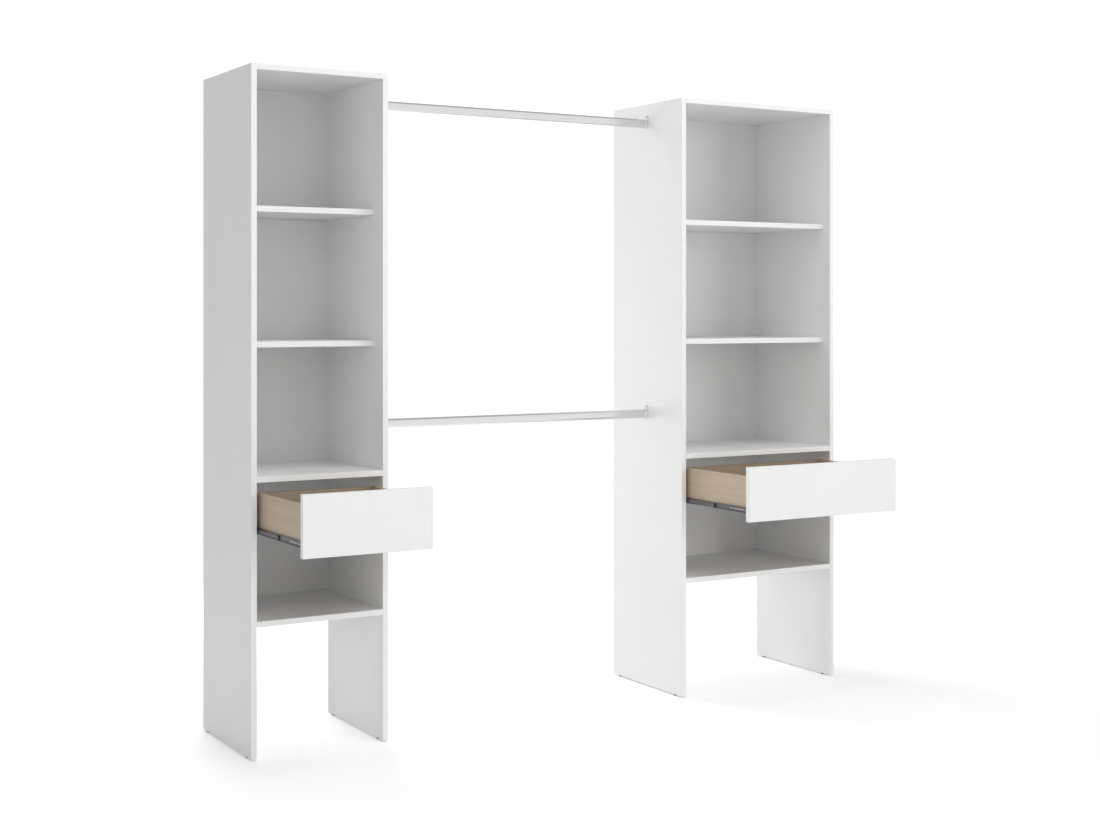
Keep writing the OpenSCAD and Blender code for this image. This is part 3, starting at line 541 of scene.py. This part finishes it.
def copyOfNode(node, name):
    # a merged copy of a CAD node, ready to be shaped
    piece = bpy.data.objects.new(name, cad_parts[node].data.copy())
    bpy.context.scene.collection.objects.link(piece)
    makeActive(piece)
    bpy.ops.mesh.customdata_custom_splitnormals_clear()
    bpy.ops.object.shade_flat()
    bpy.ops.object.mode_set(mode="EDIT")
    bpy.ops.mesh.select_all(action="SELECT")
    bpy.ops.mesh.remove_doubles(threshold=mergeWithin)
    bpy.ops.mesh.dissolve_limited(angle_limit=flatWithin)
    bpy.ops.mesh.select_all(action="DESELECT")
    bpy.ops.object.mode_set(mode="OBJECT")
    return piece


def bevelEdges(piece, chosen, width, steps):
    # chosen tells from an edge's two ends whether that edge is rounded
    bpy.ops.object.mode_set(mode="EDIT")
    bpy.ops.mesh.select_mode(type="EDGE")
    shape = bmesh.from_edit_mesh(piece.data)
    for edge in shape.edges:
        edge.select_set(chosen(edge.verts[0].co, edge.verts[1].co))
    bmesh.update_edit_mesh(piece.data)
    bpy.ops.mesh.bevel(offset=width, segments=steps, affect="EDGES")
    bpy.ops.mesh.select_all(action="DESELECT")
    bpy.ops.object.mode_set(mode="OBJECT")


def keepInside(piece, low, high):
    # bevels run past a corner where a cut ends in it, so such points go back to the board's own faces
    for point in piece.data.vertices:
        point.co = [min(max(value, least), most) for value, least, most in zip(point.co, low, high)]


def roundedBoard(node, body, settings, sawnRear):
    low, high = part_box(node)
    piece = copyOfNode(node, node + "_faced")

    def chosen(a, b):
        shared = facesThrough(a, low, high) & facesThrough(b, low, high)
        sawn = sawnRear and (1, "high") in shared  # a sawn rear edge stays sharp
        return len(shared) > 1 and not sawn

    bevelEdges(piece, chosen, settings["edgeRound"], settings["steps"])
    keepInside(piece, low, high)
    storeCorners(piece, low, high)
    standFor(piece, node, body, settings["finish"])


# side panels, tops and shelves

sidePanels = {"nodes": ["left_outer_panel", "left_inner_panel", "right_inner_panel", "right_outer_panel"],
              "edgeRound": 0.0007, "steps": 3, "finish": "panelBoard", "slot": "white_board"}
flatBoards = {"nodes": ["left_top_panel", "left_upper_shelf", "left_lower_shelf", "left_fixed_shelf",
                        "left_bottom_shelf", "right_top_panel", "right_upper_shelf",
                        "right_lower_shelf", "right_fixed_shelf", "right_bottom_shelf"],
              "edgeRound": 0.0007, "steps": 3, "finish": "shelfBoard", "slot": "white_board"}
for boards in (sidePanels, flatBoards):
    for node in boards["nodes"]:
        roundedBoard(node, "cabinet", boards, sawnRear=True)
print("panels and shelves shaped")


# drawers

drawerBoards = {
    "front": {"edgeRound": 0.0009, "steps": 3, "finish": "frontBoard", "slot": "white_board"},
    "left_side": {"edgeRound": 0.0008, "steps": 3, "finish": "oakAlongDepth", "slot": "oak_board"},
    "right_side": {"edgeRound": 0.0008, "steps": 3, "finish": "oakAlongDepth", "slot": "oak_board"},
    # back and bottom take the darker oak print, its extra darkness painted shade for the drawer's inside
    "back": {"edgeRound": 0.0008, "steps": 3, "finish": "oakAlongWidthPaintedShade", "slot": "oak_board"},
    "bottom": {"edgeRound": 0.0003, "steps": 2, "finish": "oakAlongWidthPaintedShade", "slot": "oak_board"},
}
for drawer in ("left_drawer", "right_drawer"):
    for part, settings in drawerBoards.items():
        roundedBoard(drawer + "_" + part, drawer, settings, sawnRear=False)
print("drawers shaped")


# hanging rails

hangingTube = {"nodes": ["upper_rail", "lower_rail"], "wall": 0.0012, "sides": 96, "smoothBelow": 40,
               "finish": "chromeTube", "slot": "chromed_tube"}


def hangingRail(node, settings):
    # a round tube whose halves are drawn apart to the oval of the real one
    low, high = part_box(node)
    middle = (low + high) / 2
    thick = high.y - low.y
    spread = ((high.z - low.z) - thick) / 2
    deselectAll()
    bpy.ops.mesh.primitive_cylinder_add(vertices=settings["sides"], radius=thick / 2,
                                        depth=high.x - low.x, end_fill_type="NOTHING",
                                        location=middle, rotation=(0, quarter, 0))
    piece = bpy.context.object
    piece.name = node + "_tube"
    bpy.ops.object.transform_apply(location=True, rotation=True, scale=True)
    bpy.ops.object.mode_set(mode="EDIT")
    bpy.ops.mesh.select_mode(type="VERT")
    for direction in (1, -1):
        shape = bmesh.from_edit_mesh(piece.data)
        for point in shape.verts:
            point.select_set((point.co.z - middle.z) * direction > sameSpot)
        shape.select_flush_mode()
        bmesh.update_edit_mesh(piece.data)
        bpy.ops.transform.translate(value=(0, 0, spread * direction))
    bpy.ops.mesh.select_all(action="DESELECT")
    bpy.ops.object.mode_set(mode="OBJECT")
    bpy.ops.object.modifier_add(type="SOLIDIFY")
    walls = piece.modifiers[-1]
    walls.thickness = settings["wall"]
    walls.offset = -1  # the wall grows inwards
    walls.use_even_offset = True
    bpy.ops.object.modifier_apply(modifier=walls.name)
    bpy.ops.object.shade_smooth_by_angle(angle=math.radians(settings["smoothBelow"]))
    standFor(piece, node, "cabinet", settings["finish"])


for node in hangingTube["nodes"]:
    hangingRail(node, hangingTube)
print("rails drawn")


# rail brackets and release levers, with their sharp edges taken off

castBracket = {"edgeRound": 0.0004, "steps": 2, "fromAngle": 40, "smoothBelow": 32,
               "finish": "chromeBracket", "slot": "chromed_bracket", "ending": "_cast"}
mouldedLever = {"edgeRound": 0.0006, "steps": 3, "fromAngle": 40, "smoothBelow": 32,
                "finish": "paleLever", "slot": "pale_plastic", "ending": "_moulded"}


def softenedCopy(node, body, settings):
    piece = copyOfNode(node, node + settings["ending"])
    bpy.ops.object.modifier_add(type="BEVEL")
    softening = piece.modifiers[-1]
    softening.width = settings["edgeRound"]
    softening.segments = settings["steps"]
    softening.limit_method = "ANGLE"
    softening.angle_limit = math.radians(settings["fromAngle"])
    bpy.ops.object.modifier_apply(modifier=softening.name)
    bpy.ops.object.shade_smooth_by_angle(angle=math.radians(settings["smoothBelow"]))
    standFor(piece, node, body, settings["finish"])


for node in ("upper_rail_brackets", "lower_rail_brackets"):
    softenedCopy(node, "cabinet", castBracket)
for drawer in ("left_drawer", "right_drawer"):
    softenedCopy(drawer + "_release_levers", drawer, mouldedLever)
print("brackets and levers shaped")


# runner members, rolled from strip: round at the bends, just broken at the lips

rolledChannel = {"bend": 0.0011, "bendSteps": 4, "lip": 0.00025, "lipSteps": 2, "smoothBelow": 32,
                 "finish": "runnerZinc", "slot": "runner_steel"}
rolledBeam = {"bend": 0.0005, "bendSteps": 3, "smoothBelow": 32, "finish": "runnerZinc",
              "slot": "runner_steel"}


def alongRunner(a, b):
    return abs(a.x - b.x) < sameSpot and abs(a.z - b.z) < sameSpot


def rolledMember(node, body, settings, webAt):
    # webAt is the side where the channel's back lies, or None for the beam between two channels
    low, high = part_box(node)
    piece = copyOfNode(node, node + "_rolled")

    def corner(a, b, sides):
        shared = facesThrough(a, low, high) & facesThrough(b, low, high)
        outer = (2, "low") in shared or (2, "high") in shared
        return alongRunner(a, b) and outer and any((0, side) in shared for side in sides)

    backSides = ("low", "high") if webAt is None else (webAt,)
    bevelEdges(piece, lambda a, b: corner(a, b, backSides), settings["bend"], settings["bendSteps"])
    if webAt is not None:
        lipSide = "high" if webAt == "low" else "low"
        bevelEdges(piece, lambda a, b: corner(a, b, (lipSide,)), settings["lip"], settings["lipSteps"])
    bpy.ops.object.shade_smooth_by_angle(angle=math.radians(settings["smoothBelow"]))
    standFor(piece, node, body, settings["finish"])


for drawer in ("left_drawer", "right_drawer"):
    for side, panelSide, boardSide in (("_left", "low", "high"), ("_right", "high", "low")):
        rolledMember(drawer + side + "_fixed_channel", "cabinet", rolledChannel, panelSide)
        rolledMember(drawer + side + "_moving_channel", drawer, rolledChannel, boardSide)
        rolledMember(drawer + side + "_middle_beam", drawer + "_middle_beams", rolledBeam, None)
print("runners rolled")


# what keeps its CAD shape

carriedOver = {
    "backSheet": ["left_back_panel", "right_back_panel"],
    "nickelPin": ["shelf_pins"],
    "zincFitting": ["cam_locks", "cam_bolts", "back_nails", "bracket_screws", "runner_screws",
                    "left_drawer_fasteners", "right_drawer_fasteners"],
    "rawBeech": ["dowels", "left_drawer_dowels", "right_drawer_dowels"],
    "blackGlide": ["floor_glides"],
    "cageSteel": ["left_drawer_fixed_cages", "left_drawer_moving_cages", "right_drawer_fixed_cages",
                  "right_drawer_moving_cages"],
}
for finish, nodes in carriedOver.items():
    for node in nodes:
        dressAs(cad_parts[node], finish)
print("fittings finished")


# floor: matt with a faint shadow near the wardrobe, plain white to the eye further away

def viewRays(tree):
    # masks of the camera's own rays and of those that a mirror or a clear surface sends on
    path = addNode(tree, "ShaderNodeLightPath").outputs
    return path["Is Camera Ray"], calc(tree, "MAXIMUM", path["Is Glossy Ray"], path["Is Transmission Ray"])


# colour lights the wardrobe from below, and seenColour is what the camera gets
paleFloor = {"size": 60, "colour": (0.8, 0.8, 0.8, 1), "seenColour": (1.15, 1.15, 1.15, 1),
             "whiteColour": (1, 1, 1, 1), "whiteStrength": 1.06, "nearShare": 0.33,
             "shadowReach": 2.0, "fadedBy": 3.3}


def floorMaterial(settings):
    material, tree, shader, coords = newMaterial("floorWhite")
    tree.nodes.remove(shader)
    straight, mirrored = viewRays(tree)
    seen = calc(tree, "MAXIMUM", straight, mirrored)
    colour = blendColour(tree, seen, settings["colour"], settings["seenColour"])
    matt = addNode(tree, "ShaderNodeBsdfDiffuse", {"Color": colour})
    away = addNode(tree, "ShaderNodeVectorMath", {0: coords["Object"]}, operation="LENGTH")
    faded = rangeOf(tree, away.outputs["Value"], settings["shadowReach"], settings["fadedBy"],
                    settings["nearShare"], 1.0, smooth=True)
    plainWhite = addNode(tree, "ShaderNodeEmission",
                         {"Color": settings["whiteColour"], "Strength": settings["whiteStrength"]})
    either = addNode(tree, "ShaderNodeMixShader", {0: calc(tree, "MULTIPLY", faded, seen),
                                                   1: matt.outputs[0], 2: plainWhite.outputs[0]})
    tree.links.new(either.outputs[0], tree.nodes["Material Output"].inputs["Surface"])
    return material


deselectAll()
bpy.ops.mesh.primitive_plane_add(size=paleFloor["size"], location=(0, 0, 0))
floor = bpy.context.object
floor.name = "floor"
floor.data.materials.append(floorMaterial(paleFloor))
print("floor laid")


# room light, plain white where it is seen

# strength is what lights the wardrobe, and walls and ceiling are what its chrome mirrors
roomLight = {"colour": (1, 1, 1, 1), "strength": 0.34, "backdrop": 1.15, "walls": 1.0, "ceiling": 0.5,
             "ceilingFrom": 0.3, "ceilingAt": 0.75}


def lightRoom(settings):
    world = bpy.data.worlds.new("studio")
    bpy.context.scene.world = world
    world.use_nodes = True
    tree = world.node_tree
    tree.nodes.clear()
    straight, mirrored = viewRays(tree)
    upwards = split(tree, addNode(tree, "ShaderNodeTexCoord").outputs["Generated"])["Z"]
    reflected = rangeOf(tree, upwards, settings["ceilingFrom"], settings["ceilingAt"],
                        settings["walls"], settings["ceiling"], smooth=True)
    strength = blendValue(tree, mirrored, settings["strength"], reflected)
    strength = blendValue(tree, straight, strength, settings["backdrop"])
    sky = addNode(tree, "ShaderNodeBackground", {"Color": settings["colour"], "Strength": strength})
    addNode(tree, "ShaderNodeOutputWorld", {"Surface": sky.outputs[0]})


lightRoom(roomLight)
print("room light set")


# soft square lamps, their places in metres and their power in watts

studioLamps = {
    "frontHigh": {"place": (-0.5, -3.0, 4.0), "target": (0, 0, 1.0), "size": 2.5, "power": 11.5},
    "frontSteep": {"place": (0, -2.2, 5.0), "target": (0, -0.2, 0.8), "size": 2.5, "power": 45},
    "frontLeft": {"place": (-2.3, -2.8, 1.6), "target": (-0.2, 0, 1.0), "size": 2.4, "power": 14},
    "frontLow": {"place": (0.8, -6.0, 0.8), "target": (0, 0, 0.8), "size": 2.5, "power": 23},
    "frontRight": {"place": (5.0, -7.0, 2.0), "target": (0, 0, 1.0), "size": 3.0, "power": 152},
    "right": {"place": (9.0, -2.0, 2.0), "target": (0, 0, 1.0), "size": 4.0, "power": 251},
    "left": {"place": (-7.0, -3.5, 1.5), "target": (0, 0, 1.0), "size": 3.0, "power": 31},
    "overhead": {"place": (0, -0.3, 5.0), "target": (0, 0, 0), "size": 3.0, "power": 22},
    "backHigh": {"place": (-0.3, 3.0, 3.5), "target": (0, 0, 1.0), "size": 2.0, "power": 64},
    "backLow": {"place": (-0.3, 3.5, 0.6), "target": (0, 0, 0.6), "size": 1.5, "power": 69},
    "backLeft": {"place": (-3.5, 4.0, 1.5), "target": (0, 0, 1.0), "size": 4.0, "power": 28},
}


def addLamp(name, settings):
    deselectAll()
    bpy.ops.object.light_add(type="AREA", location=settings["place"])
    lamp = bpy.context.object
    lamp.name = name
    lamp.data.shape = "SQUARE"
    lamp.data.size = settings["size"]
    lamp.data.energy = settings["power"]
    lamp.visible_glossy = False  # the chrome mirrors the room, not the lamps
    aim = Vector(settings["target"]) - Vector(settings["place"])
    lamp.rotation_euler = aim.to_track_quat("-Z", "Y").to_euler()


for name, settings in studioLamps.items():
    addLamp(name, settings)
print("lamps placed:", len(studioLamps))


# camera at the photograph's place

photoView = {"place": (-2.8924, -4.7539, 1.3567), "turn": -30.74, "lens": 53.793, "sensor": 36,
             "shiftY": -0.0918, "farLimit": 200}
deselectAll()
bpy.ops.object.camera_add(location=photoView["place"],
                          rotation=(quarter, 0, math.radians(photoView["turn"])))
camera = bpy.context.object
camera.name = "photoCamera"
camera.data.sensor_width = photoView["sensor"]
camera.data.lens = photoView["lens"]
camera.data.shift_y = photoView["shiftY"]
camera.data.clip_end = photoView["farLimit"]
bpy.context.scene.camera = camera
bpy.context.scene.view_settings.view_transform = "Standard"
print("camera placed")
